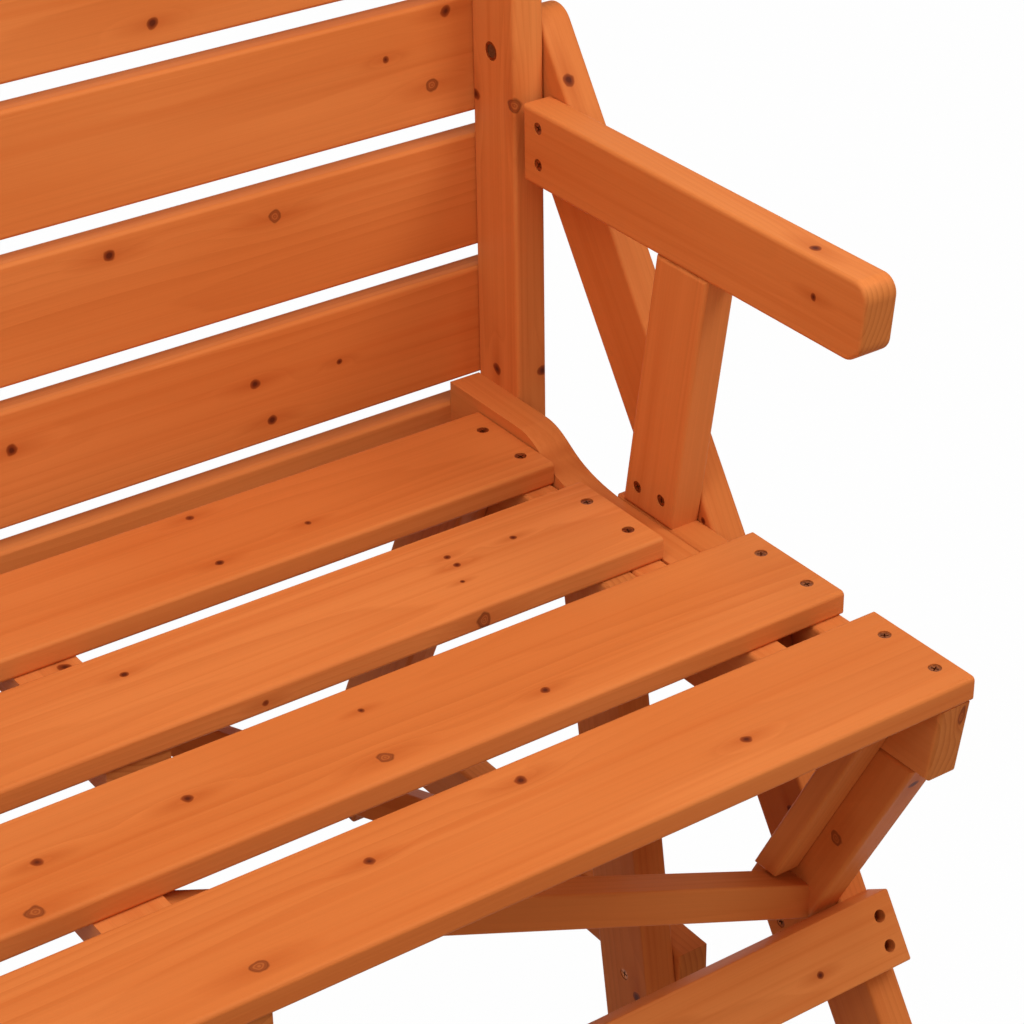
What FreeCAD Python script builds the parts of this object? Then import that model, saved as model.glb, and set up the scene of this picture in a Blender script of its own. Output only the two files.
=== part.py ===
"""Convertible picnic table bench in stained fir, millimetres, +Z up.

A garden bench whose back turns forward to become a table top, while the rear half of the seat
swings out behind it as the table's second bench. The origin is on the ground, in the middle of
the length, half way between the front of the front feet and the back of the rear feet. The
sitter's side is -Y. Every end piece is drawn on the right (+X) and mirrored to the left.
"""
import FreeCAD, Part
import math
import os

os.makedirs("parts", exist_ok=True)
V = FreeCAD.Vector

# Overall sizes
length = 1390.0              # over the outer faces of the long legs
seat_height = 430.0          # ground to the top of the seat slats
seat_front = -332.2          # front edge of the front slat, along Y

# Boards
board = 26.0                 # thickness of every board of the end frames
side_gap = 1.0               # play between boards that move past each other
slat_w = 98.0                # seat slats
slat_t = 18.0
slat_edge = 3.0              # rounded long edges of the slats
board_edge = 3.0             # rounded edges of the frame boards

# Seat: two front slats on the fixed frame, two rear slats on the swinging frame
seat_gap = 28.0
rear_seat_gap = 31.0         # between the two rear slats
rail_h = 58.0                # depth of both seat rails
front_rail_reach = 1.0       # front end of the outer rail, behind the slat's front edge
front_rail_slope = 9.0       # degrees that its front end slopes back
front_rail_tail = 6.0        # rail behind the rear edge of the long leg
rear_rail_front = 64.0       # front end of the inner rail, behind the slat's front edge
rear_rail_tail = 6.0         # inner rail behind the last slat

# Long leg, from the front foot up to the pivot of the back
leg_w = 60.0
leg_lean = 33.2              # degrees back from upright
leg_past_pivot = 22.0        # square end of the leg beyond the pivot

# Back rest, which becomes the table top
batten_w = 51.5
batten_ahead = 15.0          # front edge of the batten, in front of the last seat slat's end
pivot_in = 27.5              # pivot behind the front edge of the batten
back_count = 5
back_slat_w = 88.0
back_slat_t = 19.0
back_gap = 17.2
back_above_seat = 412.0      # top edge of the highest slat above the seat
batten_inset = 8.0           # ends of the batten inside the outer slats' edges

# Arm and its support
arm_h = 57.0
arm_top = 244.0              # above the seat
arm_front = 90.0             # tip of the arm behind the seat's front edge
arm_round = 12.0
arm_chin = 17.0              # cut lower corner of the tip
arm_to_batten = 9.0          # gap between the arm's rear end and the batten
support_w = 54.5
support_foot = 281.0         # front lower corner of the support behind the seat's front edge
support_lean = 9.7           # degrees that its top leans forward

# Braces under the front seat
brace_w = 58.0
brace_lean = 27.8            # degrees that its foot leans back
brace_front = 22.5           # front upper corner behind the seat's front edge
cleat_w = 20.0               # strip that the long brace is screwed to
cleat_back = 32.0            # cleat's front edge behind the brace's front edge, along Y
long_brace_t = 24.0
long_brace_h = 27.0
long_brace_y = 117.0         # its front face behind the seat's front edge
long_brace_foot = 256.0      # its lower edge at the end, below the seat
long_brace_rise = 22.8       # degrees
rear_brace_rise = 38.0       # degrees
rear_brace_foot = 30.0       # its lower edge below the upper edge of the low rail
centre_batten_w = 45.0
centre_batten_h = 24.0
slat_batten_inset = 4.0      # ends of the battens inside the outer slats' edges
front_batten_x = 134.0       # battens under the front slats, from the middle
rear_batten_x = 210.0        # battens under the rear slats, from the middle

# Stretchers
stretcher_h = 53.0
stretcher_t = 24.0
brace_to_stretcher = 1.0     # gap between the diagonal brace and the front stretcher's upper edge
rear_stretcher_z = 225.0     # centre of the rear stretcher above the ground

# Bracket that carries the rear seat on the back rest
bracket_rise = 8.5           # its raised tail above the seat
bracket_shoulder = 91.0      # raised part in front of the tail end
bracket_run = 89.0           # length of the curved step below the shoulder

# Rear seat frame legs
rear_leg_w = 58.0
rear_leg_leans = {-1: 8.8, 1: 25.0}     # degrees that the front and the back foot spread
rear_leg_tops = {-1: 100.5, 1: 105.5}   # their centres at the rail's underside, from the seat's middle
low_rail_h = 51.0
low_rail_drop = 313.0        # its upper edge below the seat
low_rail_reach = 3.0         # its ends past the edges of the legs

# Bolts and screws
bolt_d = 10.0
bolt_play = 0.05             # running fit in the boards, on the radius
bolt_head_d = 22.0
bolt_head_h = 5.0
sleeve_d = 14.0              # sleeve nut of a pivot, let into the inner board
sleeve_long = 20.0
sleeve_sink = 0.4            # its end, and again the bolt's end, below the wood's face
thread_play = 0.02
washer_d = 22.0
washer_play = 0.1
recess_d = 26.0              # counterbore of the link bolt's head
recess_play = 0.5
screw_d = 4.5
screw_head_d = 9.0
screw_head_h = 4.0
screw_sink = 0.6             # head below the wood's face
screw_play = 0.03
stretcher_bolt_d = 8.0
stretcher_bolt_head = 14.0
stretcher_head_h = 4.0
stretcher_recess = 17.0
stretcher_sink = 9.0
stretcher_bolt_gap = 22.0    # between the two bolts at each end
stretcher_bolt_in = 16.0     # bolts inside the outer face of the leg
stretcher_bolt_long = 55.0

# Layers, outer faces along X: long leg, fixed side boards, bracket, inner rail, rear legs
pitch = board + side_gap
leg_x = length / 2.0
side_x = leg_x - board
batten_x = side_x - side_gap
bracket_x = side_x - pitch
rail_x = bracket_x - pitch
rear_leg_x = rail_x - board

# Places worked out from the sizes
under_slat = seat_height - slat_t
rail_low = under_slat - rail_h
slat_pitch = slat_w + seat_gap
slat_fronts = [seat_front + i * slat_pitch for i in range(3)]
slat_fronts.append(slat_fronts[2] + slat_w + rear_seat_gap)
rear_slats_end = slat_fronts[3] + slat_w
batten_y0 = rear_slats_end - batten_ahead
batten_y1 = batten_y0 + batten_w
back_y1 = batten_y1 + back_slat_t
pivot_y = batten_y0 + pivot_in
arm_z1 = seat_height + arm_top
arm_z0 = arm_z1 - arm_h
rest_gap = 0.3
pivot_z = arm_z1 + pivot_in + rest_gap
back_top = seat_height + back_above_seat
back_pitch = back_slat_w + back_gap
back_low = back_top - back_slat_w - (back_count - 1) * back_pitch
link_z = (under_slat + rail_low) / 2.0
link_y = pivot_y - (pivot_z - link_z)


def lean(deg):
    """Shift along Y for one millimetre of height."""
    return math.tan(math.radians(deg))


def leg_mid(z):
    """Centre line of the long leg, which passes through the pivot."""
    return pivot_y - (pivot_z - z) * lean(leg_lean)


leg_half = leg_w / 2.0 / math.cos(math.radians(leg_lean))


def outline(corners, x):
    """Closed wire at x from corners (Y, Z) or, where a corner is rounded, (Y, Z, radius)."""
    parts = []
    starts = []
    ends = []
    count = len(corners)
    for i, corner in enumerate(corners):
        here = V(x, corner[0], corner[1])
        before = V(x, corners[i - 1][0], corners[i - 1][1])
        after = V(x, corners[(i + 1) % count][0], corners[(i + 1) % count][1])
        u = (before - here).normalize()
        w = (after - here).normalize()
        if len(corner) == 2:
            starts.append(here)
            ends.append(here)
            parts.append(None)
            continue
        half = u.getAngle(w) / 2.0
        reach = corner[2] / math.tan(half)
        middle = here + (u + w).normalize() * (corner[2] / math.sin(half))
        a = here + u * reach
        b = here + w * reach
        top = middle + (here - middle).normalize() * corner[2]
        starts.append(a)
        ends.append(b)
        parts.append(Part.Arc(a, top, b).toShape())
    edges = []
    for i in range(count):
        if parts[i] is not None:
            edges.append(parts[i])
        a = ends[i]
        b = starts[(i + 1) % count]
        if a.distanceToPoint(b) > 1e-4:
            edges.append(Part.LineSegment(a, b).toShape())
    return Part.Wire(Part.__sortEdges__(edges))


def end_board(corners, x1, thick=board):
    """A board on edge in an end frame, its outer face at x1, with eased edges."""
    face = Part.Face(outline(corners, x1 - thick))
    solid = face.extrude(V(thick, 0, 0))
    edges = [e for e in solid.Edges if not along_x(e)]
    return solid.makeFillet(board_edge, edges)


def bar(x0, x1, y0, y1, z0, z1):
    return Part.makeBox(x1 - x0, y1 - y0, z1 - z0, V(x0, y0, z0))


def along_x(edge):
    return abs(edge.tangentAt(edge.FirstParameter).x) > 0.5


def slat(x, y0, y1, z0, z1, radius=slat_edge):
    """A board across the bench, from -x to x, with rounded long edges."""
    return lengthwise(-x, x, y0, y1, z0, z1, radius)


def lengthwise(x0, x1, y0, y1, z0, z1, radius=slat_edge):
    solid = bar(x0, x1, y0, y1, z0, z1)
    return solid.makeFillet(radius, [e for e in solid.Edges if along_x(e)])


def rod(x0, x1, y, z, d):
    """Round bar along X."""
    return Part.makeCylinder(d / 2.0, x1 - x0, V(x0, y, z), V(1, 0, 0))


def mirrored(shape):
    return shape.mirror(V(0, 0, 0), V(1, 0, 0))


def write(name, shapes):
    shape = shapes[0] if len(shapes) == 1 else Part.makeCompound(shapes)
    shape.exportStep("parts/%s.step" % name)


def write_pair(name, shape):
    write("right_" + name, [shape])
    write("left_" + name, [mirrored(shape)])


# Screws: each has a seat point on the wood's face, a direction into the wood and a length
screws = {}


def screw_shape(point, way, long, grow=0.0):
    """Countersunk screw, or with grow its hole, from the face at point along way."""
    r = screw_d / 2.0 + grow
    rh = screw_head_d / 2.0 + grow
    side = V(1, 0, 0) if abs(way.x) < 0.9 else V(0, 1, 0)
    top = -1.0 if grow else screw_sink
    deep = long + grow
    profile = [(0.0, top), (rh, top), (r, screw_sink + screw_head_h), (r, deep), (0.0, deep)]
    if grow:
        profile.insert(2, (rh, screw_sink))
    points = [point + side * a + way * b for a, b in profile]
    face = Part.Face(Part.makePolygon(points + points[:1]))
    return face.revolve(point, way, 360)


def screw(group, point, way, long):
    screws.setdefault(group, []).append((point, way, long))


def drilled(shape, group):
    """Takes the group's screw holes out of a board."""
    for point, way, long in screws[group]:
        shape = shape.cut(screw_shape(point, way, long, screw_play))
    return shape


def pivot_set(x0, x1, x_gap, y, z):
    """Round-headed bolt from x1 into a sleeve nut let into the board whose inner face is x0.

    The washer fills the play between the two boards, on the inner side of x_gap.
    """
    head = rod(x1, x1 + bolt_head_h, y, z, bolt_head_d)
    rim = [e for e in head.Edges if abs(e.CenterOfMass.x - x1 - bolt_head_h) < 0.01]
    head = head.makeChamfer(bolt_head_h * 0.5, rim)
    bolt = head.fuse(rod(x0 + 2 * sleeve_sink, x1, y, z, bolt_d)).removeSplitter()
    bore = rod(x0, x1, y, z, bolt_d + 2 * thread_play)
    sleeve = rod(x0 + sleeve_sink, x0 + sleeve_long, y, z, sleeve_d).cut(bore)
    washer = rod(x_gap - side_gap + washer_play, x_gap - washer_play, y, z, washer_d)
    washer = washer.cut(rod(x0, x1, y, z, bolt_d + 2 * washer_play))
    return bolt, sleeve, washer


def bolt_hole(x0, x1, y, z):
    return rod(x0 - 1, x1 + 1, y, z, bolt_d + 2 * bolt_play)


def sleeve_hole(x0, y, z):
    """Blind hole of a sleeve nut in the board whose inner face is x0."""
    return rod(x0 - 1, x0 + sleeve_long, y, z, sleeve_d + 2 * thread_play)


# Long legs: one board each from the front foot to the pivot of the back
foot_y = leg_mid(0.0)
top_half = leg_w / 2.0
top_round = 0.6 * top_half
lean_c = math.cos(math.radians(leg_lean))
lean_s = math.sin(math.radians(leg_lean))
tip_y = pivot_y + leg_past_pivot * lean_s
tip_z = pivot_z + leg_past_pivot * lean_c
long_leg = end_board([
    (foot_y - leg_half, 0.0),
    (foot_y + leg_half, 0.0),
    (tip_y + top_half * lean_c, tip_z - top_half * lean_s, top_round),
    (tip_y - top_half * lean_c, tip_z + top_half * lean_s, top_round)], leg_x)
long_leg = long_leg.cut(bolt_hole(side_x, leg_x, pivot_y, pivot_z))


def leg_front(z):
    return leg_mid(z) - leg_half


def leg_rear(z):
    return leg_mid(z) + leg_half


# Seat slats and their screws into the rails
screw_in_slat = (0.235, 0.725)   # of the slat's width
down = V(0, 0, -1)
slat_screw = 45.0
front_screw_x = side_x - board / 2.0
rear_screw_x = rail_x - board / 2.0
seat_slats = []
for i in range(4):
    y0 = slat_fronts[i]
    on_front = i < 2
    group = "front_seat_slat_screws" if on_front else "rear_seat_slat_screws"
    sx = front_screw_x if on_front else rear_screw_x
    for at in screw_in_slat:
        for side in (1, -1):
            screw(group, V(side * sx, y0 + at * slat_w, seat_height), down, slat_screw)
    half = side_x if on_front else rail_x
    seat_slats.append(slat(half, y0, y0 + slat_w, under_slat, seat_height))
for i, name in enumerate(("front_seat_slat_1", "front_seat_slat_2", "rear_seat_slat_1", "rear_seat_slat_2")):
    group = "front_seat_slat_screws" if i < 2 else "rear_seat_slat_screws"
    write(name, [drilled(seat_slats[i], group)])

# Outer seat rail under the front slats, fixed to the long leg
rail_y0 = seat_front + front_rail_reach
rail_y1 = leg_rear(under_slat) + front_rail_tail
slope = rail_h * lean(front_rail_slope)
front_rail = end_board([
    (rail_y0, under_slat),
    (rail_y1, under_slat),
    (rail_y1, rail_low),
    (rail_y0 + slope, rail_low)], side_x)
write_pair("front_seat_rail", drilled(front_rail, "front_seat_slat_screws"))

# Arm on edge, with two screws into the long leg
inward = V(1, 0, 0)
arm_screw_heights = (0.3, 0.78)      # of the arm's height
arm_y0 = seat_front + arm_front
arm_y1 = batten_y0 - arm_to_batten
arm = end_board([
    (arm_y0, arm_z1, arm_round),
    (arm_y1, arm_z1),
    (arm_y1, arm_z0),
    (arm_y0 + arm_chin, arm_z0, arm_round),
    (arm_y0 + 0.3 * arm_chin, arm_z0 + 0.5 * arm_chin, arm_round)], side_x)
side_screw = 40.0
arm_screw_y = arm_y1 - 0.32 * arm_h
for up in arm_screw_heights:
    screw("arm_screws", V(side_x - board, arm_screw_y, arm_z0 + up * arm_h), inward, side_screw)
write_pair("arm", drilled(arm, "arm_screws"))

# Arm support: it stands on the outer rail, leans forward and carries the arm
support_screw_places = ((0.2, 0.35), (0.7, 0.32))   # of its width, across and up from its foot
support_half = support_w / math.cos(math.radians(support_lean))
support_y = seat_front + support_foot
support_shift = (arm_z0 - under_slat) * lean(support_lean)
support = end_board([
    (support_y, under_slat),
    (support_y + support_half, under_slat),
    (support_y + support_half - support_shift, arm_z0),
    (support_y - support_shift, arm_z0)], side_x)
for across, up in support_screw_places:
    screw("support_screws", V(side_x - board, support_y + across * support_w, under_slat + up * support_w),
          inward, side_screw)
write_pair("arm_support", drilled(support, "support_screws"))

# Diagonal brace from under the outer rail to the long leg, cut flush with its rear edge
brace_half = brace_w / math.cos(math.radians(brace_lean))
brace_slope = lean(brace_lean)
leg_slope = lean(leg_lean)
brace_y = seat_front + brace_front


def brace_edge(z, offset):
    return brace_y + offset + (rail_low - z) * brace_slope


def flush_height(offset):
    """Height where a brace edge meets the long leg's rear edge."""
    return (brace_y + offset + rail_low * brace_slope - leg_rear(0.0)) / (brace_slope + leg_slope)


z_front = flush_height(0.0)
z_rear = flush_height(brace_half)
brace = end_board([
    (brace_edge(rail_low, 0.0), rail_low),
    (brace_edge(rail_low, brace_half), rail_low),
    (leg_rear(z_rear), z_rear),
    (leg_rear(z_front), z_front)], side_x)
brace_screw_z = z_front + 0.6 * (z_rear - z_front)
for across in (0.3, 0.76):
    y = brace_edge(brace_screw_z, across * brace_w)
    screw("brace_screws", V(side_x - board, y, brace_screw_z), inward, side_screw)
write_pair("diagonal_brace", drilled(brace, "brace_screws"))

# Long braces: from the foot of the diagonal brace up to a batten under the front slats
brace_inner = side_x - board
foot_z = seat_height - long_brace_foot
batten_half = centre_batten_w / 2.0
rise_t = lean(long_brace_rise)
tall = long_brace_h / math.cos(math.radians(long_brace_rise))


def rising_brace(x1, x0, y0, foot, rise):
    """Brace across the bench: its foot on the face at x1, its top on a batten's side at x0."""
    run = x1 - x0
    up = run * lean(rise)
    high = long_brace_h / math.cos(math.radians(rise))
    corners = [(x1, foot), (x1, foot + high), (x0, foot + high + up), (x0, foot + up), (x1, foot)]
    solid = Part.Face(Part.makePolygon([V(x, y0, z) for x, z in corners])).extrude(V(0, long_brace_t, 0))
    solid = solid.common(bar(x0, x1, y0, y0 + long_brace_t, 0, under_slat))
    return solid.makeFillet(2.0, [e for e in solid.Edges if e.Length > run * 0.9])


long_y0 = seat_front + long_brace_y
write_pair("long_brace", rising_brace(brace_inner, front_batten_x + batten_half, long_y0, foot_z, long_brace_rise))

# Cleat on the inner face of the diagonal brace, above the long brace's foot
cleat_t = board - 2 * side_gap
cleat_z0 = foot_z + tall + cleat_t * rise_t + side_gap
cleat_half = cleat_w / math.cos(math.radians(brace_lean))
cleat = end_board([
    (brace_edge(under_slat, cleat_back), under_slat),
    (brace_edge(under_slat, cleat_back + cleat_half), under_slat),
    (brace_edge(cleat_z0, cleat_back + cleat_half), cleat_z0),
    (brace_edge(cleat_z0, cleat_back), cleat_z0)], brace_inner, cleat_t)
write_pair("brace_cleat", cleat)

# Battens that tie the slats between the ends
for name, x, first in (("front_seat_batten", front_batten_x, 0), ("rear_seat_batten", rear_batten_x, 2)):
    y0 = slat_fronts[first] + slat_batten_inset
    y1 = slat_fronts[first + 1] + slat_w - slat_batten_inset
    shape = bar(x - batten_half, x + batten_half, y0, y1,
                under_slat - centre_batten_h, under_slat)
    shape = shape.makeFillet(2.0, [e for e in shape.Edges if abs(e.tangentAt(e.FirstParameter).y) > 0.5
                                   and e.CenterOfMass.z < under_slat - 1])
    write_pair(name, shape)

# Front stretcher, bolted to the front edges of the long legs just under the diagonal braces


def on_edge(centre_y, centre_z, deg, x):
    """A stretcher whose back lies on a leaning edge through the centre, leaning like the leg."""
    solid = Part.makeBox(2 * x, stretcher_t, stretcher_h, V(-x, -stretcher_t, -stretcher_h / 2.0))
    solid = solid.makeFillet(slat_edge, [e for e in solid.Edges if along_x(e)])
    solid.rotate(V(0, 0, 0), V(1, 0, 0), -deg)
    solid.translate(V(0, centre_y, centre_z))
    return solid


def square_to(deg):
    """Unit vector that goes straight into a leaning edge."""
    return V(0, math.cos(math.radians(deg)), -math.sin(math.radians(deg)))


def stretcher_bolts(front, centre_y, centre_z, deg, x):
    """Hex-headed bolts deep in counterbores, two at each end. Returns the bolts and their holes."""
    into = square_to(deg) if front else square_to(deg) * -1.0
    up = V(0, math.sin(math.radians(deg)), math.cos(math.radians(deg)))
    bolts = []
    holes = []
    for side in (1, -1):
        for k in (1, -1):
            back = V(side * x, centre_y, centre_z) + up * (k * stretcher_bolt_gap / 2.0)
            face = back - into * stretcher_t
            seat = face + into * stretcher_sink
            head = Part.makeCylinder(stretcher_bolt_head / 2.0, stretcher_head_h,
                                     seat - into * stretcher_head_h, into)
            shank = Part.makeCylinder(stretcher_bolt_d / 2.0, stretcher_bolt_long, seat, into)
            bolts.append(head.fuse(shank).removeSplitter())
            sink = Part.makeCylinder(stretcher_recess / 2.0, stretcher_sink + 1.0, face - into, into)
            bore = Part.makeCylinder(stretcher_bolt_d / 2.0 + screw_play, stretcher_bolt_long + 3.0, seat, into)
            holes.append(sink.fuse(bore))
    return bolts, holes


def without(shape, tools):
    for tool in tools:
        shape = shape.cut(tool)
    return shape


cross_z = (brace_edge(0.0, 0.0) - leg_front(0.0)) / (brace_slope + leg_slope)
front_stretcher_z = cross_z - (stretcher_h / 2.0 + brace_to_stretcher) * lean_c
front_y = leg_front(front_stretcher_z)
leg_bolt_x = leg_x - stretcher_bolt_in
bolts, front_holes = stretcher_bolts(True, front_y, front_stretcher_z, leg_lean, leg_bolt_x)
write("front_stretcher_bolts", bolts)
front_stretcher = on_edge(front_y, front_stretcher_z, leg_lean, leg_x)
write("front_stretcher", [without(front_stretcher, front_holes)])
write_pair("long_leg", without(drilled(drilled(drilled(long_leg, "arm_screws"), "support_screws"),
                                       "brace_screws"), front_holes))

# Back rest: upright battens, slats on their rear edges, and a middle batten
batten_z0 = back_low + batten_inset
batten_z1 = back_top - batten_inset
batten = end_board([
    (batten_y0, batten_z0), (batten_y1, batten_z0),
    (batten_y1, batten_z1), (batten_y0, batten_z1)], batten_x)
bracket_x1 = batten_x - board
forward = V(0, -1, 0)
for i in range(back_count):
    for at in screw_in_slat:
        z = back_low + i * back_pitch + at * back_slat_w
        for side in (1, -1):
            screw("back_slat_screws", V(side * (batten_x - board / 2.0), back_y1, z), forward, slat_screw)

# Bracket: a rail whose raised tail is fixed to the batten and whose front end carries the rear seat
tail_y = batten_y1
tail_z = seat_height + bracket_rise
low_top = under_slat - rest_gap
step_y1 = tail_y - bracket_shoulder
step_y0 = step_y1 - bracket_run
half_h = (low_top - rail_low) / 2.0
bracket_edges = [
    (link_y, rail_low), (tail_y, rail_low), (tail_y, tail_z), (step_y1, tail_z)]
points = [V(bracket_x1 - board, y, z) for y, z in bracket_edges]
step = Part.BSplineCurve()
step.interpolate([points[3],
                  V(bracket_x1 - board, step_y1 - 0.38 * bracket_run, tail_z - 0.54 * (tail_z - low_top)),
                  V(bracket_x1 - board, step_y0, low_top)],
                 InitialTangent=V(0, -1, -0.1), FinalTangent=V(0, -1, -0.05))
nose_z = rail_low + half_h
nose = Part.Arc(V(bracket_x1 - board, link_y, low_top), V(bracket_x1 - board, link_y - half_h, nose_z),
                V(bracket_x1 - board, link_y, rail_low)).toShape()
edges = [Part.LineSegment(points[i], points[i + 1]).toShape() for i in range(3)]
edges.append(step.toShape())
edges.append(Part.LineSegment(V(bracket_x1 - board, step_y0, low_top),
                              V(bracket_x1 - board, link_y, low_top)).toShape())
edges.append(nose)
bracket = Part.Face(Part.Wire(Part.__sortEdges__(edges))).extrude(V(board, 0, 0))
bracket = bracket.cut(bolt_hole(bracket_x1 - board, bracket_x1, link_y, link_z))
recess = rod(bracket_x1 - bolt_head_h - recess_play, bracket_x1 + 1, link_y, link_z, recess_d)
bracket = bracket.cut(recess)
outward = V(-1, 0, 0)
bracket_h = tail_z - rail_low
for along, up in ((0.3, 0.82), (0.7, 0.68), (0.3, 0.2)):
    screw("bracket_screws", V(batten_x, batten_y0 + along * batten_w, rail_low + up * bracket_h),
          outward, side_screw)
write_pair("seat_bracket", drilled(bracket, "bracket_screws"))
batten = batten.cut(bolt_hole(bracket_x1, batten_x, pivot_y, pivot_z))
batten = batten.cut(sleeve_hole(bracket_x1, pivot_y, pivot_z))
write_pair("back_batten", drilled(drilled(batten, "back_slat_screws"), "bracket_screws"))
for i in range(back_count):
    z0 = back_low + i * back_pitch
    shape = slat(batten_x, batten_y1, back_y1, z0, z0 + back_slat_w)
    write("back_slat_%d" % (i + 1), [drilled(shape, "back_slat_screws")])
middle = bar(-leg_w / 2.0, leg_w / 2.0, batten_y1 - slat_t, batten_y1, batten_z0, batten_z1)
middle = middle.makeFillet(slat_edge, [e for e in middle.Edges
                                       if e.Length > 300 and e.CenterOfMass.y < batten_y1 - 1])
write("back_middle_batten", [middle])

# Pivot bolts of the back: head outside the long leg, sleeve nut in the batten's inner face
bolt, sleeve, washer = pivot_set(bracket_x1, leg_x, side_x, pivot_y, pivot_z)
write_pair("back_pivot_bolt", bolt)
write("back_pivot_nuts", [sleeve, mirrored(sleeve), washer, mirrored(washer)])

# Link bolts of the rear seat: head sunk in the bracket, sleeve nut in the inner rail
link_head_x = bracket_x1 - bolt_head_h - recess_play / 2.0
bolt, sleeve, washer = pivot_set(rail_x - board, link_head_x, bracket_x1 - board, link_y, link_z)
write_pair("seat_link_bolt", bolt)
write("seat_link_nuts", [sleeve, mirrored(sleeve), washer, mirrored(washer)])

# Rear seat frame: inner rails, two spread legs at each end, low rails, stretcher and braces
rear_y0 = seat_front + rear_rail_front
rear_y1 = rear_slats_end + rear_rail_tail
rear_rail = end_board([
    (rear_y0, under_slat), (rear_y1, under_slat), (rear_y1, rail_low), (rear_y0, rail_low)], rail_x)
rear_rail = rear_rail.cut(bolt_hole(rail_x - board, rail_x, link_y, link_z))
rear_rail = rear_rail.cut(sleeve_hole(rail_x - board, link_y, link_z))
rear_mid = (slat_fronts[2] + rear_slats_end) / 2.0


def rear_leg_y(z, way, side=0):
    """Centre line of a rear frame leg at height z, or its edge where side is -1 or 1.

    way is -1 for the front leg and 1 for the back one.
    """
    angle = rear_leg_leans[way]
    half = rear_leg_w / 2.0 / math.cos(math.radians(angle))
    return rear_mid + way * (rear_leg_tops[way] + (rail_low - z) * lean(angle)) + side * half


def rear_leg(way):
    return end_board([
        (rear_leg_y(0, way, -1), 0.0),
        (rear_leg_y(0, way, 1), 0.0),
        (rear_leg_y(under_slat, way, 1), under_slat),
        (rear_leg_y(under_slat, way, -1), under_slat)], rear_leg_x)


leg_inner = rear_leg_x - board
low_z1 = seat_height - low_rail_drop
low_z0 = low_z1 - low_rail_h
low_mid = low_z0 + low_rail_h / 2.0
for way in (-1, 1):
    for z in (rail_low + 0.2 * rail_h, rail_low + 0.45 * rail_h, low_mid):
        screw("rear_leg_screws", V(leg_inner, rear_leg_y(z, way), z), inward, side_screw)
low_y0 = rear_leg_y(low_mid, -1, -1) - low_rail_reach
low_y1 = rear_leg_y(low_mid, 1, 1) + low_rail_reach
low_rail = end_board([(low_y0, low_z0), (low_y1, low_z0), (low_y1, low_z1), (low_y0, low_z1)], rail_x)
write_pair("rear_low_rail", drilled(low_rail, "rear_leg_screws"))
write_pair("rear_seat_rail", drilled(drilled(rear_rail, "rear_leg_screws"), "rear_seat_slat_screws"))
write_pair("rear_front_leg", drilled(rear_leg(-1), "rear_leg_screws"))
back_lean = rear_leg_leans[1]
back_edge_y = rear_leg_y(rear_stretcher_z, 1, 1)
rear_bolt_x = rear_leg_x - stretcher_bolt_in
bolts, rear_holes = stretcher_bolts(False, back_edge_y, rear_stretcher_z, -back_lean, rear_bolt_x)
write("rear_stretcher_bolts", bolts)
rear_stretcher = Part.makeBox(2 * rear_leg_x, stretcher_t, stretcher_h,
                              V(-rear_leg_x, 0, -stretcher_h / 2.0))
rear_stretcher = rear_stretcher.makeFillet(slat_edge, [e for e in rear_stretcher.Edges if along_x(e)])
rear_stretcher.rotate(V(0, 0, 0), V(1, 0, 0), back_lean)
rear_stretcher.translate(V(0, back_edge_y, rear_stretcher_z))
write("rear_stretcher", [without(rear_stretcher, rear_holes)])
rear_brace_y0 = rear_mid - long_brace_t / 2.0
write_pair("rear_brace", rising_brace(rear_leg_x, rear_batten_x + batten_half, rear_brace_y0,
                                      low_z1 - rear_brace_foot, rear_brace_rise))
write_pair("rear_back_leg", without(drilled(rear_leg(1), "rear_leg_screws"), rear_holes))

for group, places in screws.items():
    solids = []
    for point, way, long in places:
        solids.append(screw_shape(point, way, long))
        if abs(way.x) > 0.5:
            solids.append(mirrored(solids[-1]))
    write(group, solids)
print("pivot", pivot_y, pivot_z, "link", link_y, link_z)
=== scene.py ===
"""Convertible picnic table bench in stained fir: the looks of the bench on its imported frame."""
import math
import random

import bpy
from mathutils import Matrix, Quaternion, Vector


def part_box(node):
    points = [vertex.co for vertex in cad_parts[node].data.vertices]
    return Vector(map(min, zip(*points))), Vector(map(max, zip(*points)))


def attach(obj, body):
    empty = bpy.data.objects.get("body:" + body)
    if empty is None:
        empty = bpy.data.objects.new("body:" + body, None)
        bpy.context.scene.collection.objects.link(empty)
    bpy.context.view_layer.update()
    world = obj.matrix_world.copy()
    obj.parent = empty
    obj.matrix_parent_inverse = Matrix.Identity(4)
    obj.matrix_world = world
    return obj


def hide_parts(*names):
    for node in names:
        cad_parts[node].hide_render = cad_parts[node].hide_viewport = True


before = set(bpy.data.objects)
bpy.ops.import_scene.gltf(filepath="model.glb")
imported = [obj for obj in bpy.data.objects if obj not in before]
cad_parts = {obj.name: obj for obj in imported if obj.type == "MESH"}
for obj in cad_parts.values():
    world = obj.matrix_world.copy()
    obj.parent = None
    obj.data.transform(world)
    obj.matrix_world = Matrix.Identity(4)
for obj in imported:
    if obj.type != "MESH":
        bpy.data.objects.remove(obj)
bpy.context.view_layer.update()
bpy.ops.object.select_all(action="DESELECT")

# Long legs. Single planed fir boards that lean back 33 degrees from the front feet to the pivots
# of the back. All the wood of the bench has the same orange stain, so its grain is made once,
# here, and every board gets its own cut of it with its own knots.
leg_tilt = math.radians(33.2)
along_leg = Vector((0.0, math.sin(leg_tilt), math.cos(leg_tilt)))
outward = Vector((1.0, 0.0, 0.0))
ring_gap = 0.0048
knots_per_metre = 2.6
largest_dark_knot = 0.0050
ragged_knot = 0.85
bent_around_knot = 3.2
red_around_knot = 2.0


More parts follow.
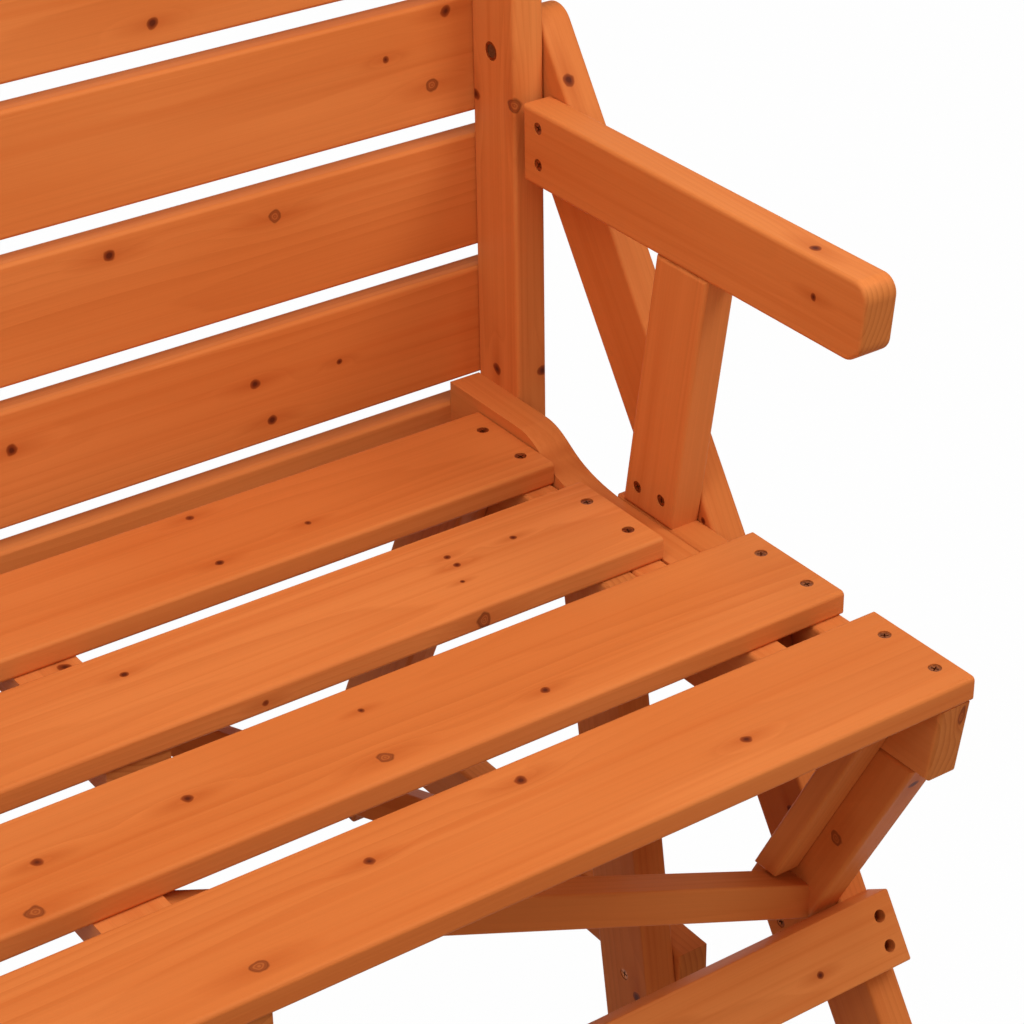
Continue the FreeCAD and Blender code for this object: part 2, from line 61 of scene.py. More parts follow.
def worked_out(tree, kind, a, b=0.0):
    """A sum, product or other result of two node outputs or plain numbers."""
    step = tree.nodes.new("ShaderNodeMath")
    step.operation = kind
    for socket, value in zip(step.inputs, (a, b)):
        if isinstance(value, (int, float)):
            socket.default_value = value
        else:
            tree.links.new(value, socket)
    return step.outputs["Value"]


def fir_grain():
    """Node group: growth rings, fibres, blotchy stain, end grain and knots of one fir board.

    Board is the place in the board in metres: along, across and through it. Cut is how far the
    face looks along the board, Swirl bends the rings round knots, Knot is 1 in the middle of one,
    Pale is 1 in the ringed middle of a large one, and Halo is the reddened wood around it.
    """
    group = bpy.data.node_groups.new("stained fir", "ShaderNodeTree")
    for name, kind in (("Board", "NodeSocketVector"), ("Cut", "NodeSocketFloat"),
                       ("Swirl", "NodeSocketFloat"), ("Knot", "NodeSocketFloat"),
                       ("Pale", "NodeSocketFloat"), ("Halo", "NodeSocketFloat")):
        group.interface.new_socket(name, in_out="INPUT", socket_type=kind)
    for name, kind in (("Color", "NodeSocketColor"), ("Roughness", "NodeSocketFloat"),
                       ("Height", "NodeSocketFloat")):
        group.interface.new_socket(name, in_out="OUTPUT", socket_type=kind)
    nodes, links = group.nodes, group.links
    start = nodes.new("NodeGroupInput")
    end = nodes.new("NodeGroupOutput")
    knot = start.outputs["Knot"]

    def stretched_noise(scale, detail, rough=0.5):
        place = nodes.new("ShaderNodeMapping")
        place.inputs["Scale"].default_value = scale
        noise = nodes.new("ShaderNodeTexNoise")
        noise.inputs["Scale"].default_value = 1.0
        noise.inputs["Detail"].default_value = detail
        noise.inputs["Roughness"].default_value = rough
        links.new(start.outputs["Board"], place.inputs["Vector"])
        links.new(place.outputs["Vector"], noise.inputs["Vector"])
        return noise.outputs["Fac"]

    def plus(a, b):
        return worked_out(group, "ADD", a, b)

    def times(a, b):
        return worked_out(group, "MULTIPLY", a, b)

    def drift(scale, detail, far):
        return times(worked_out(group, "SUBTRACT", stretched_noise(scale, detail), 0.5), far)

    def blend(kind, amount, a, b):
        mix = nodes.new("ShaderNodeMix")
        mix.data_type = "RGBA"
        mix.blend_type = kind
        for socket, value in ((mix.inputs[0], amount), (mix.inputs[6], a), (mix.inputs[7], b)):
            if isinstance(value, (int, float, tuple)):
                socket.default_value = value
            else:
                links.new(value, socket)
        return mix.outputs[2]

    def ramp(value, *stops):
        node = nodes.new("ShaderNodeValToRGB")
        marks = node.color_ramp.elements
        while len(marks) < len(stops):
            marks.new(0.5)
        for mark, (place, shade) in zip(marks, stops):
            mark.position = place
            mark.color = (shade, shade, shade, 1.0)
        links.new(value, node.inputs["Fac"])
        return node.outputs["Color"]

    # Rings about the heart of the tree, which lies outside the board, wandering along its length
    parts = nodes.new("ShaderNodeSeparateXYZ")
    links.new(start.outputs["Board"], parts.inputs["Vector"])
    flat = nodes.new("ShaderNodeCombineXYZ")
    links.new(parts.outputs["Y"], flat.inputs["Y"])
    links.new(parts.outputs["Z"], flat.inputs["Z"])
    reach = nodes.new("ShaderNodeVectorMath")
    reach.operation = "LENGTH"
    links.new(flat.outputs["Vector"], reach.inputs[0])
    wander = drift((1.3, 9.0, 9.0), 2.0, 0.034)
    waver = drift((7.0, 60.0, 60.0), 1.0, 0.0022)
    radius = plus(plus(reach.outputs["Value"], wander), plus(waver, start.outputs["Swirl"]))
    rings = ramp(worked_out(group, "FRACT", worked_out(group, "DIVIDE", radius, ring_gap)),
                 (0.0, 0.0), (0.45, 0.15), (0.84, 0.85), (0.94, 1.0), (1.0, 0.0))
    shown = ramp(stretched_noise((1.8, 20.0, 20.0), 1.0), (0.38, 0.18), (0.70, 1.0))
    streaks = ramp(stretched_noise((1.6, 95.0, 95.0), 2.0, 0.55), (0.50, 0.0), (0.70, 1.0))
    lines = ramp(stretched_noise((2.6, 420.0, 420.0), 2.0, 0.6), (0.50, 0.0), (0.72, 1.0))
    fibres = stretched_noise((14.0, 1100.0, 1100.0), 2.0, 0.6)
    blotches = ramp(stretched_noise((1.9, 8.0, 8.0), 2.0, 0.5), (0.38, 0.0), (0.64, 1.0))
    cut = ramp(start.outputs["Cut"], (0.55, 0.0), (0.85, 1.0))

    # The stained wood, from the broad blotches down to the fibres, then its sawn ends
    deep_stain = (0.665, 0.190, 0.045, 1.0)
    light_stain = (0.745, 0.243, 0.066, 1.0)
    late_wood = (0.46, 0.098, 0.017, 1.0)
    red_streak = (0.57, 0.122, 0.022, 1.0)
    dark_line = (0.40, 0.086, 0.015, 1.0)
    sawn_end = (0.54, 0.185, 0.046, 1.0)
    sawn_ring = (0.36, 0.082, 0.018, 1.0)
    wood = blend("MIX", blotches, deep_stain, light_stain)
    wood = blend("MIX", times(times(rings, shown), 0.25), wood, late_wood)
    wood = blend("MIX", times(streaks, 0.30), wood, red_streak)
    wood = blend("MIX", times(lines, 0.08), wood, dark_line)
    wood = blend("MULTIPLY", 0.16, wood, ramp(fibres, (0.2, 0.72), (0.8, 1.0)))
    wood = blend("MIX", times(cut, 0.6), wood, sawn_end)
    wood = blend("MIX", times(times(rings, cut), 0.36), wood, sawn_ring)

    # Knots: small ones dark to the middle, large ones with a dark rim round paler rings
    red_halo = (0.45, 0.086, 0.014, 1.0)
    dark_edge, dark_middle = (0.27, 0.050, 0.011, 1.0), (0.105, 0.018, 0.006, 1.0)
    pale_ring, brown_ring = (0.46, 0.125, 0.030, 1.0), (0.31, 0.066, 0.016, 1.0)
    dark_rim = (0.19, 0.038, 0.010, 1.0)
    wood = blend("MIX", times(start.outputs["Halo"], 0.52), wood, red_halo)
    dark_knot = blend("MIX", ramp(knot, (0.30, 0.0), (0.75, 1.0)), dark_edge, dark_middle)
    inner_rings = ramp(worked_out(group, "FRACT", times(knot, 3.4)), (0.0, 0.0), (0.5, 1.0), (1.0, 0.0))
    inside = blend("MIX", inner_rings, pale_ring, brown_ring)
    pale_knot = blend("MIX", ramp(knot, (0.16, 0.0), (0.52, 1.0)), dark_rim, inside)
    either = blend("MIX", start.outputs["Pale"], dark_knot, pale_knot)
    wood = blend("MIX", ramp(knot, (0.0, 0.0), (0.24, 1.0)), wood, either)
    links.new(wood, end.inputs["Color"])

    # Rougher where the fibres stand up and on sawn ends; a knot is a little sunk
    sheen = nodes.new("ShaderNodeMapRange")
    sheen.inputs["To Min"].default_value = 0.46
    sheen.inputs["To Max"].default_value = 0.66
    links.new(plus(times(fibres, 0.6), times(cut, 0.5)), sheen.inputs["Value"])
    links.new(sheen.outputs["Result"], end.inputs["Roughness"])
    raised = plus(times(rings, 0.35), fibres)
    links.new(worked_out(group, "SUBTRACT", raised, times(knot, 0.3)), end.inputs["Height"])
    return group


grain = fir_grain()
chance = random.Random(7)


def stain(name, along, face, knots=None, edge_knots=(), deep_knots=(), heart=None, board=None):
    """Gives a CAD board its stained fir, its grain along `along` and its broad side facing `face`.

    knots are (along, across, radius) from the board's middle in metres. Without them the board
    gets a few small ones by chance. edge_knots are (along, through, radius) on its narrow edges,
    and deep_knots (place, squeeze, radius) show on a sawn end or over a corner.
    Knots of up to 5 mm radius are dark all through, larger ones have a paler ringed middle. heart
    is (across, through) to the middle of the tree. board is a piece that stands for the CAD one.
    """
    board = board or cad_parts[name]
    low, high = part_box(name)
    middle = (low + high) / 2.0
    across = face.cross(along)
    long = sum(abs(along[i]) * (high[i] - low[i]) for i in range(3))
    wide = sum(abs(across[i]) * (high[i] - low[i]) for i in range(3))
    if heart is None:
        heart = (chance.uniform(-0.025, 0.025), chance.uniform(0.045, 0.11))
    if knots is None:
        knots = []
        for k in range(max(1, round(long * knots_per_metre))):
            knots.append((chance.uniform(-0.46, 0.46) * long,
                          chance.uniform(-0.3, 0.3) * min(wide, 0.09),
                          chance.uniform(0.0022, 0.0052)))
    stuff = bpy.data.materials.new(name + "_fir")
    stuff.use_nodes = True
    tree = stuff.node_tree
    nodes, links = tree.nodes, tree.links
    paint = nodes["Principled BSDF"]
    coords = nodes.new("ShaderNodeTexCoord")

    def vector(kind, a, b=None):
        step = nodes.new("ShaderNodeVectorMath")
        step.operation = kind
        links.new(a, step.inputs[0])
        if isinstance(b, (Vector, tuple)):
            step.inputs[1].default_value = b
        elif b is not None:
            links.new(b, step.inputs[1])
        return step.outputs["Value"] if kind in ("DOT_PRODUCT", "LENGTH") else step.outputs["Vector"]

    def number(kind, a, b=0.0):
        return worked_out(tree, kind, a, b)

    def fading(far):
        left = number("SUBTRACT", 1.0, far)
        left.node.use_clamp = True
        return left

    def fading_along_grain(off, stretch, far):
        stretched = vector("MULTIPLY", off, (stretch, 1.0, 1.0))
        return fading(number("DIVIDE", vector("LENGTH", stretched), far))

    from_middle = vector("SUBTRACT", coords.outputs["Object"], middle)
    place = nodes.new("ShaderNodeCombineXYZ")
    for axis, way in zip("XYZ", (along, across, face)):
        links.new(vector("DOT_PRODUCT", from_middle, way), place.inputs[axis])
    noise = nodes.new("ShaderNodeTexNoise")
    noise.inputs["Scale"].default_value = 130.0
    noise.inputs["Detail"].default_value = 1.0
    links.new(place.outputs["Vector"], noise.inputs["Vector"])
    shake = number("MULTIPLY", number("SUBTRACT", noise.outputs["Fac"], 0.5), ragged_knot)
    spots = [((x, y, 0.0), (1.0, 1.0, 0.06), r) for x, y, r in knots]
    spots += [((x, 0.0, z), (1.0, 0.03, 1.0), r) for x, z, r in edge_knots]
    spots += deep_knots
    marks = {}
    for spot, squeeze, r in spots:
        off = vector("MULTIPLY", vector("SUBTRACT", place.outputs["Vector"], spot), squeeze)
        inside = fading(number("ADD", number("DIVIDE", vector("LENGTH", off), r), shake))
        bend = number("POWER", fading_along_grain(off, 0.28, bent_around_knot * r), 1.6)
        ringed = 1.0 if r > largest_dark_knot else 0.0
        for mark, amount, joined in (
                ("Swirl", number("MULTIPLY", bend, 1.5 * r), "ADD"),
                ("Knot", inside, "MAXIMUM"),
                ("Pale", number("MULTIPLY", number("GREATER_THAN", inside), ringed), "MAXIMUM"),
                ("Halo", fading_along_grain(off, 0.26, red_around_knot * r), "MAXIMUM")):
            marks[mark] = number(joined, marks[mark], amount) if mark in marks else amount
    wood = nodes.new("ShaderNodeGroup")
    wood.node_tree = grain
    shift = (chance.uniform(-9.0, 9.0), heart[0], heart[1])
    links.new(vector("ADD", place.outputs["Vector"], shift), wood.inputs["Board"])
    end_on = vector("DOT_PRODUCT", coords.outputs["Normal"], along)
    links.new(number("ABSOLUTE", end_on), wood.inputs["Cut"])
    for mark, amount in marks.items():
        links.new(amount, wood.inputs[mark])
    links.new(wood.outputs["Color"], paint.inputs["Base Color"])
    links.new(wood.outputs["Roughness"], paint.inputs["Roughness"])
    relief = nodes.new("ShaderNodeBump")
    relief.inputs["Strength"].default_value = 0.25
    relief.inputs["Distance"].default_value = 0.0004
    links.new(wood.outputs["Height"], relief.inputs["Height"])
    links.new(relief.outputs["Normal"], paint.inputs["Normal"])
    paint.inputs["Specular IOR Level"].default_value = 0.07
    board.data.materials.clear()
    board.data.materials.append(stuff)


stain("right_long_leg", along_leg, outward,
      [(-0.165, -0.002, 0.0038), (0.05, 0.012, 0.0026), (-0.38, -0.01, 0.0024)],
      edge_knots=[(0.372, -0.006, 0.0050)])
stain("left_long_leg", along_leg, outward)

# Side boards of the fixed frame. Outer seat rails, arms with rounded tips, their leaning supports
# and the braces below are all the same planed fir board, each with its grain along its own
# length. They are screwed face to face.
level = Vector((0.0, 1.0, 0.0))
upright = Vector((0.0, 0.0, 1.0))
support_tilt = math.radians(9.7)
brace_tilt = math.radians(27.8)
along_support = Vector((0.0, -math.sin(support_tilt), math.cos(support_tilt)))
along_brace = Vector((0.0, -math.sin(brace_tilt), math.cos(brace_tilt)))
stain("right_front_seat_rail", level, outward, [(-0.12, 0.01, 0.0032)],
      deep_knots=[((-0.1715, 0.018, 0.0065), (0.5, 0.65, 1.7), 0.0052)])
stain("left_front_seat_rail", level, outward)
stain("right_arm", level, outward, [(-0.133, 0.003, 0.0031)], edge_knots=[(-0.12, -0.002, 0.0046)])
stain("left_arm", level, outward)
stain("right_arm_support", along_support, outward, [(-0.12, 0.008, 0.0024)])
stain("left_arm_support", along_support, outward)
stain("right_diagonal_brace", along_brace, outward, [(0.025, -0.001, 0.0062)],
      edge_knots=[(0.119, -0.002, 0.0046)])
stain("left_diagonal_brace", along_brace, outward)
stain("right_brace_cleat", along_brace, outward)
stain("left_brace_cleat", along_brace, outward)

# Long braces. Slim fir bars that rise 23 degrees from the foot of each diagonal brace to a batten
# near the middle of the front slats. They keep the ends square to the seat.
rise = math.radians(22.8)
forward = Vector((0.0, -1.0, 0.0))
stain("right_long_brace", Vector((-math.cos(rise), 0.0, math.sin(rise))), forward)
stain("left_long_brace", Vector((math.cos(rise), 0.0, math.sin(rise))), forward)

# Seat slats. Four planed fir slats with eased edges, two on the fixed front frame and two shorter
# ones on the rear seat. Short battens under each pair tie the slats together between the ends.
lengthways = Vector((1.0, 0.0, 0.0))
stain("front_seat_slat_1", lengthways, upright,
      [(0.510, -0.017, 0.0042), (0.374, 0.029, 0.0048), (0.258, 0.015, 0.0040), (0.159, -0.029, 0.0058),
       (-0.12, 0.014, 0.0031), (-0.41, -0.02, 0.004)], heart=(0.012, 0.075))
stain("front_seat_slat_2", lengthways, upright,
      [(0.321, -0.029, 0.0054), (0.203, 0.004, 0.0044), (0.336, 0.022, 0.0026), (0.442, -0.027, 0.0036),
       (0.081, -0.040, 0.0066), (0.103, 0.001, 0.0042), (-0.22, 0.02, 0.0045),
       (-0.52, -0.015, 0.0028)], heart=(-0.02, 0.09))
stain("rear_seat_slat_1", lengthways, upright,
      [(0.236, 0.019, 0.0031), (0.481, 0.017, 0.0028), (0.481, 0.005, 0.0031), (0.532, 0.012, 0.0029),
       (0.472, -0.015, 0.0019), (-0.05, -0.01, 0.004), (-0.36, 0.025, 0.0030)],
      edge_knots=[(0.299, -0.001, 0.0030)],
      deep_knots=[((0.466, -0.049, -0.002), (1.0, 1.0, 1.0), 0.0062)], heart=(0.02, 0.06))
stain("rear_seat_slat_2", lengthways, upright,
      [(0.366, 0.037, 0.0038), (0.429, -0.017, 0.0030), (0.353, -0.027, 0.0034), (0.02, 0.012, 0.004),
       (-0.31, -0.028, 0.0028)], heart=(-0.01, 0.08))
for name in ("front_seat_batten", "rear_seat_batten"):
    for side in ("right_", "left_"):
        stain(side + name, level, -upright)

# Back rest. Five fir slats, screwed to the rear edges of two upright battens and to one flat
# batten in the middle. The same slats are the table top when the back is turned forward.
stain("back_slat_1", lengthways, forward,
      [(0.30, 0.010, 0.003), (-0.25, -0.02, 0.0045)], heart=(0.010, 0.042))
stain("back_slat_2", lengthways, forward,
      [(0.451, 0.006, 0.0045), (0.521, 0.002, 0.0026), (0.463, -0.027, 0.0042), (0.261, 0.014, 0.0048),
       (-0.10, 0.02, 0.003), (-0.42, -0.01, 0.0045)], heart=(-0.015, 0.046))
stain("back_slat_3", lengthways, forward,
      [(0.347, 0.030, 0.005), (0.475, 0.024, 0.0055), (0.06, -0.016, 0.003), (-0.33, 0.012, 0.005)],
      heart=(0.020, 0.038))
stain("back_slat_4", lengthways, forward,
      [(0.570, 0.012, 0.003), (0.608, -0.016, 0.0052), (0.621, 0.036, 0.0045), (0.19, -0.01, 0.004),
       (-0.28, 0.02, 0.003)], heart=(-0.008, 0.050))
stain("back_slat_5", lengthways, forward,
      [(0.393, -0.027, 0.0045), (0.10, 0.014, 0.003), (-0.37, 0.0, 0.0045)], heart=(0.012, 0.055))
stain("right_back_batten", upright, -outward, [(0.076, 0.021, 0.0050), (-0.136, 0.001, 0.0050)],
      deep_knots=[((0.082, -0.0250, 0.0120), (1.0, 1.0, 1.0), 0.0066),
                  ((-0.133, -0.0258, -0.0095), (1.0, 1.0, 1.0), 0.0050)])
stain("left_back_batten", upright, outward)
stain("back_middle_batten", upright, forward)

# Seat brackets. Contoured fir rails, band-sawn with an S-shaped step and screwed to the back's
# battens. Their front ends carry the rear seat on bolts, so they are the links of the fold.
stain("right_seat_bracket", level, outward, [(0.071, 0.030, 0.0026), (0.048, 0.026, 0.003)])
stain("left_seat_bracket", level, outward)

# Rear seat frame. Inner fir rails with two spread legs and a low side rail at each end, a
# stretcher behind, and short braces that rise from the low rails to the battens.
front_spread = math.radians(8.8)
back_spread = math.radians(25.0)
rear_rise = math.radians(38.0)
along_front_leg = Vector((0.0, math.sin(front_spread), math.cos(front_spread)))
along_back_leg = Vector((0.0, -math.sin(back_spread), math.cos(back_spread)))
out_of_rear_stretcher = Vector((0.0, math.cos(back_spread), math.sin(back_spread)))
stain("right_rear_front_leg", along_front_leg, outward, [(-0.129, 0.014, 0.005), (0.06, -0.012, 0.0025)])
stain("left_rear_front_leg", along_front_leg, outward)
for side, toward_middle in (("right_", -1.0), ("left_", 1.0)):
    stain(side + "rear_seat_rail", level, outward)
    stain(side + "rear_low_rail", level, outward)
    stain(side + "rear_back_leg", along_back_leg, outward)
    along_rear_brace = Vector((toward_middle * math.cos(rear_rise), 0.0, math.sin(rear_rise)))
    stain(side + "rear_brace", along_rear_brace, forward)
stain("rear_stretcher", lengthways, out_of_rear_stretcher)

# Front stretcher. One fir board across the front edges of the long legs, fixed by two screws at
# each end that sit deep in plain 9 mm holes. Its ends lie flush with the legs' outer faces.
board_low, board_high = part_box("front_stretcher")
stretcher_long = board_high[0] - board_low[0]
stretcher_thick = 0.024
stretcher_wide = 0.053
hole_wide = 0.0092
hole_in = 0.0138
hole_gap = 0.022
eased_edge = 0.0015
stretcher_middle = (board_low + board_high) / 2.0
out_of_stretcher = Vector((0.0, -math.cos(leg_tilt), math.sin(leg_tilt)))


def pick(*pieces):
    """Selects these pieces alone and makes the first of them active."""
    bpy.ops.object.select_all(action="DESELECT")
    for piece in pieces:
        piece.select_set(True)
    bpy.context.view_layer.objects.active = pieces[0]


def cut_away(piece, tool, label):
    """Cuts the tool's shape out of the piece and takes the tool away."""
    cut = piece.modifiers.new(label, "BOOLEAN")
    cut.operation = "DIFFERENCE"
    cut.object = tool
    bpy.context.view_layer.objects.active = piece
    bpy.ops.object.modifier_apply(modifier=cut.name)
    bpy.data.objects.remove(tool)


bpy.ops.mesh.primitive_cube_add(size=1.0, scale=(stretcher_long, stretcher_thick, stretcher_wide))
stretcher = bpy.context.object
stretcher.name = "front_stretcher_board"
bpy.ops.object.transform_apply(location=False, rotation=False, scale=True)
ease = stretcher.modifiers.new("eased edges", "BEVEL")
ease.width = eased_edge
ease.segments = 3
bpy.ops.object.modifier_apply(modifier=ease.name)
hole_places = []
for side in (1.0, -1.0):
    for up in (1.0, -1.0):
        hole_places.append((side * (stretcher_long / 2.0 - hole_in), up * hole_gap / 2.0))
through_board = (math.radians(90.0), 0.0, 0.0)
for x, z in hole_places:
    bpy.ops.mesh.primitive_cylinder_add(vertices=48, radius=hole_wide / 2.0, depth=2.0 * stretcher_thick,
                                        location=(x, 0.0, z), rotation=through_board)
    cut_away(stretcher, bpy.context.object, "screw hole")
pick(stretcher)
bpy.ops.object.shade_smooth_by_angle(angle=math.radians(35.0))
stretcher.rotation_euler = (-leg_tilt, 0.0, 0.0)
stretcher.location = stretcher_middle
bpy.ops.object.transform_apply(location=True, rotation=True, scale=False)
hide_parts("front_stretcher")
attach(stretcher, "front_frame")
stain("front_stretcher", lengthways, out_of_stretcher,
      [(0.619, -0.008, 0.0030), (0.21, 0.006, 0.0026), (-0.34, -0.01, 0.004)], board=stretcher)

# Countersunk screws. Yellow zinc-plated steel with a cross recess, driven until the head sits just
# below the wood. One is turned for each length and copied into its holes, and every head stops
# at its own angle.
screw_head = 0.004
shank_radius = 0.00225
head_flare = 1.98
recess_long = 0.0052
recess_wide = 0.0010
same_hole = 0.0096


def plated(name, speckle, detail, dark, bright, roughness):
    """Zinc plating dulled by the stain. dark and bright are (place, colour) of its speckles."""
    plating = bpy.data.materials.new(name)
    plating.use_nodes = True
    nodes, links = plating.node_tree.nodes, plating.node_tree.links
    metal = nodes["Principled BSDF"]
    metal.inputs["Metallic"].default_value = 0.85
    place = nodes.new("ShaderNodeTexCoord")
    tarnish = nodes.new("ShaderNodeTexNoise")
    tarnish.inputs["Scale"].default_value = speckle
    tarnish.inputs["Detail"].default_value = detail
    colours = nodes.new("ShaderNodeValToRGB")
    for mark, (position, colour) in zip(colours.color_ramp.elements, (dark, bright)):
        mark.position = position
        mark.color = colour
    rough = nodes.new("ShaderNodeMapRange")
    rough.inputs["To Min"].default_value = roughness[0]
    rough.inputs["To Max"].default_value = roughness[1]
    links.new(place.outputs["Object"], tarnish.inputs["Vector"])
    links.new(tarnish.outputs["Fac"], colours.inputs["Fac"])
    links.new(colours.outputs["Color"], metal.inputs["Base Color"])
    links.new(tarnish.outputs["Fac"], rough.inputs["Value"])
    links.new(rough.outputs["Result"], metal.inputs["Roughness"])
    return plating


brass = plated("yellow_zinc", 620.0, 3.0, (0.32, (0.160, 0.035, 0.009, 1.0)),
               (0.72, (0.480, 0.135, 0.032, 1.0)), (0.34, 0.55))


def turned_screw(long):
    """A countersunk screw, the top of its head at the origin and its tip at -long."""
    shank = long - screw_head
    bpy.ops.mesh.primitive_cylinder_add(vertices=32, radius=shank_radius, depth=shank,
                                        location=(0.0, 0.0, -screw_head - shank / 2.0))
    screw = bpy.context.object
    bpy.ops.object.transform_apply(location=True, rotation=False, scale=False)
    bpy.ops.object.mode_set(mode="EDIT")
    bpy.ops.mesh.select_mode(type="FACE")
    bpy.ops.mesh.select_all(action="DESELECT")
    bpy.ops.object.mode_set(mode="OBJECT")
    for face in screw.data.polygons:
        face.select = face.normal.z > 0.9
    bpy.ops.object.mode_set(mode="EDIT")
    bpy.ops.mesh.extrude_region_move(TRANSFORM_OT_translate={"value": (0.0, 0.0, screw_head)})
    bpy.ops.transform.resize(value=(head_flare, head_flare, 1.0))
    bpy.ops.mesh.inset(thickness=0.0005, depth=0.0)
    bpy.ops.mesh.inset(thickness=0.0004, depth=-0.00015)
    bpy.ops.object.mode_set(mode="OBJECT")
    for turn in (0.0, 90.0):
        bpy.ops.mesh.primitive_cube_add(size=1.0, scale=(recess_long, recess_wide, screw_head),
                                        rotation=(0.0, 0.0, math.radians(turn)))
        cut_away(screw, bpy.context.object, "cross recess")
    screw.data.materials.clear()
    screw.data.materials.append(brass)
    return screw


def driven(name, body, way):
    """Puts a screw in each hole of a CAD group. way leads into the wood on the right side."""
    spots = []
    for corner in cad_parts[name].data.vertices:
        side = 1.0 if corner.co.x > 0.0 else -1.0
        into = Vector((way.x * side, way.y, way.z))
        depth = corner.co.dot(into)
        flat = corner.co - into * depth
        for spot in spots:
            if spot["side"] == side and (spot["flats"][0] - flat).length < same_hole:
                break
        else:
            spot = {"side": side, "into": into, "flats": [], "depths": []}
            spots.append(spot)
        spot["flats"].append(flat)
        spot["depths"].append(depth)
    master = turned_screw(max(spots[0]["depths"]) - min(spots[0]["depths"]))
    copies = []
    for spot in spots:
        low = Vector(min(f[i] for f in spot["flats"]) for i in range(3))
        high = Vector(max(f[i] for f in spot["flats"]) for i in range(3))
        pick(master)
        bpy.ops.object.duplicate()
        copy = bpy.context.object
        lie = (-spot["into"]).to_track_quat("Z", "Y")
        roll = Quaternion((0.0, 0.0, 1.0), chance.uniform(0.0, math.pi))
        copy.rotation_euler = (lie @ roll).to_euler()
        copy.location = (low + high) / 2.0 + spot["into"] * min(spot["depths"])
        copies.append(copy)
    bpy.data.objects.remove(master)
    pick(*copies)
    bpy.ops.object.join()
    group = bpy.context.object
    group.name = name + "_driven"
    bpy.ops.object.transform_apply(location=True, rotation=True, scale=False)
    bpy.ops.object.shade_smooth_by_angle(angle=math.radians(30.0))
    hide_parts(name)
    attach(group, body)


driven("front_seat_slat_screws", "front_frame", -upright)
driven("arm_screws", "front_frame", outward)
driven("support_screws", "front_frame", outward)
driven("brace_screws", "front_frame", outward)
driven("back_slat_screws", "back_rest", forward)
driven("bracket_screws", "back_rest", -outward)
driven("rear_seat_slat_screws", "rear_seat", -upright)
driven("rear_leg_screws", "rear_seat", outward)

# Stretcher screws. Steel socket screws at the bottom of the front stretcher's holes, plated like
# the others. They hold the board to the front edges of the long legs.
socket_screw_long = 0.055
socket_screw_radius = 0.004
key_radius = 0.0026
key_deep = 0.006
head_place = 0.009 - stretcher_thick / 2.0
socket_screws = []
for x, z in hole_places:
    bpy.ops.mesh.primitive_cylinder_add(vertices=40, radius=socket_screw_radius, depth=socket_screw_long,
                                        location=(x, head_place + socket_screw_long / 2.0, z),
                                        rotation=through_board)
    socket_screw = bpy.context.object
    bpy.ops.mesh.primitive_cylinder_add(vertices=6, radius=key_radius, depth=key_deep,
                                        location=(x, head_place, z), rotation=through_board)
    cut_away(socket_screw, bpy.context.object, "hexagon socket")
    socket_screws.append(socket_screw)
pick(*socket_screws)
bpy.ops.object.join()
stretcher_screws = bpy.context.object
stretcher_screws.name = "front_stretcher_screws"
bpy.ops.object.transform_apply(location=True, rotation=True, scale=True)
stretcher_screws.rotation_euler = (-leg_tilt, 0.0, 0.0)
stretcher_screws.location = stretcher_middle
bpy.ops.object.transform_apply(location=True, rotation=True, scale=False)
bpy.ops.object.shade_smooth_by_angle(angle=math.radians(30.0))
stretcher_screws.data.materials.clear()
stretcher_screws.data.materials.append(brass)
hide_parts("front_stretcher_bolts")
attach(stretcher_screws, "front_frame")

# Bolts, sleeve nuts and washers. The pivots of the back and of the rear seat are round-headed
# steel bolts in sleeve nuts, with washers between the boards. The bolts are zinc plated and dulled
# by the stain, the nuts yellow like the screws.
zinc = plated("dulled_zinc", 700.0, 2.0, (0.0, (0.070, 0.032, 0.014, 1.0)),
              (1.0, (0.28, 0.175, 0.095, 1.0)), (0.35, 0.6))
for name, plating in (("right_back_pivot_bolt", zinc), ("left_back_pivot_bolt", zinc),
                      ("back_pivot_nuts", brass), ("right_seat_link_bolt", zinc),
                      ("left_seat_link_bolt", zinc), ("seat_link_nuts", brass),
                      ("rear_stretcher_bolts", zinc)):
    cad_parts[name].data.materials.clear()
    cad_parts[name].data.materials.append(plating)

# Studio. A white floor and an even, warm world, with soft lamps overhead and high to the right
# and left in front. The camera stands to the left in front and looks down 30 degrees.
bpy.ops.mesh.primitive_plane_add(size=40.0, location=(0.0, 0.0, 0.0))
floor = bpy.context.object
floor.name = "studio_floor"
paper = bpy.data.materials.new("white_floor")
paper.use_nodes = True
nodes, links = paper.node_tree.nodes, paper.node_tree.links
surface = nodes["Principled BSDF"]
surface.inputs["Base Color"].default_value = (0.40, 0.34, 0.29, 1.0)
surface.inputs["Roughness"].default_value = 0.9
glow = nodes.new("ShaderNodeEmission")
glow.inputs["Strength"].default_value = 1.0
mix = nodes.new("ShaderNodeMixShader")


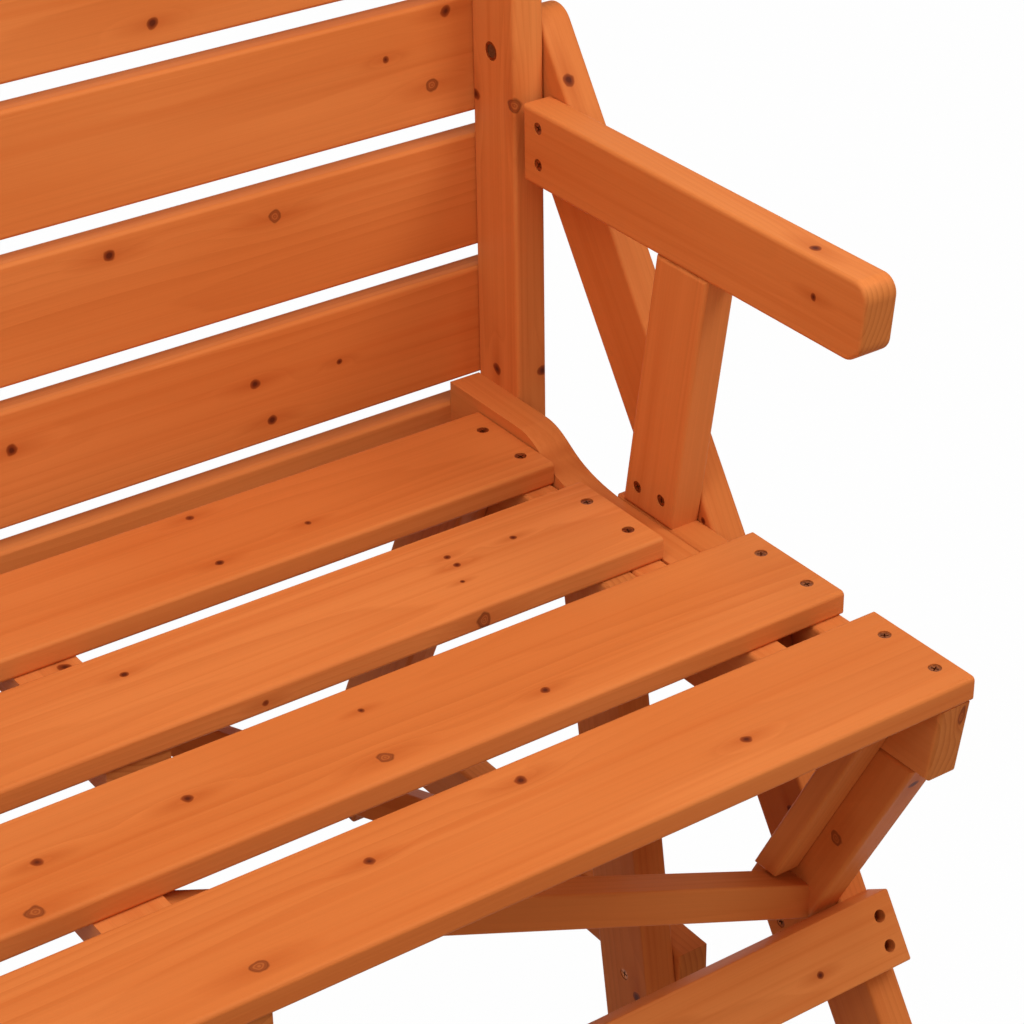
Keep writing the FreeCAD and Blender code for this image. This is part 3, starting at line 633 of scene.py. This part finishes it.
def background_seen(tree, share):
    """How white the studio is where a ray meets it from the camera, in gloss or through glass."""
    ray = tree.nodes.new("ShaderNodeLightPath")
    seen = ray.outputs["Is Camera Ray"]
    for kind in ("Is Glossy Ray", "Is Transmission Ray"):
        seen = worked_out(tree, "MAXIMUM", seen, ray.outputs[kind])
    return worked_out(tree, "MULTIPLY", seen, share)


links.new(background_seen(paper.node_tree, 0.99), mix.inputs["Fac"])
links.new(surface.outputs["BSDF"], mix.inputs[1])
links.new(glow.outputs["Emission"], mix.inputs[2])
links.new(mix.outputs["Shader"], nodes["Material Output"].inputs["Surface"])
floor.data.materials.append(paper)

world = bpy.data.worlds.new("studio")
bpy.context.scene.world = world
world.use_nodes = True
nodes, links = world.node_tree.nodes, world.node_tree.links
sky = nodes["Background"]
sky.inputs["Color"].default_value = (1.0, 0.80, 0.60, 1.0)
sky.inputs["Strength"].default_value = 0.47
backdrop = nodes.new("ShaderNodeBackground")
backdrop.inputs["Strength"].default_value = 1.0
mix = nodes.new("ShaderNodeMixShader")
links.new(background_seen(world.node_tree, 1.0), mix.inputs["Fac"])
links.new(sky.outputs["Background"], mix.inputs[1])
links.new(backdrop.outputs["Background"], mix.inputs[2])
links.new(mix.outputs["Shader"], nodes["World Output"].inputs["Surface"])

bench_middle = Vector((0.2, -0.05, 0.45))
for name, spot, wide, deep, power in (
        ("overhead_lamp", (0.2, -0.45, 1.75), 1.2, 0.6, 7.6),
        ("right_lamp", (1.3, -1.2, 1.9), 0.8, 0.6, 13.0),
        ("left_lamp", (-1.5, -1.1, 1.7), 1.0, 1.0, 8.6)):
    bpy.ops.object.light_add(type="AREA", location=spot)
    lamp = bpy.context.object
    lamp.name = name
    lamp.data.shape = "RECTANGLE"
    lamp.data.size = wide
    lamp.data.size_y = deep
    lamp.data.energy = power
    lamp.rotation_euler = (bench_middle - lamp.location).to_track_quat("-Z", "Y").to_euler()

bpy.ops.object.camera_add(location=(-0.4104, -1.3954, 1.4267))
camera = bpy.context.object
camera.rotation_euler = tuple(math.radians(a) for a in (59.796, 0.516, -35.338))
camera.data.lens = 99.77
camera.data.sensor_width = 36.0
camera.data.shift_x = -0.0270
camera.data.shift_y = -0.0072
bpy.context.scene.camera = camera
bpy.context.scene.view_settings.view_transform = "Standard"
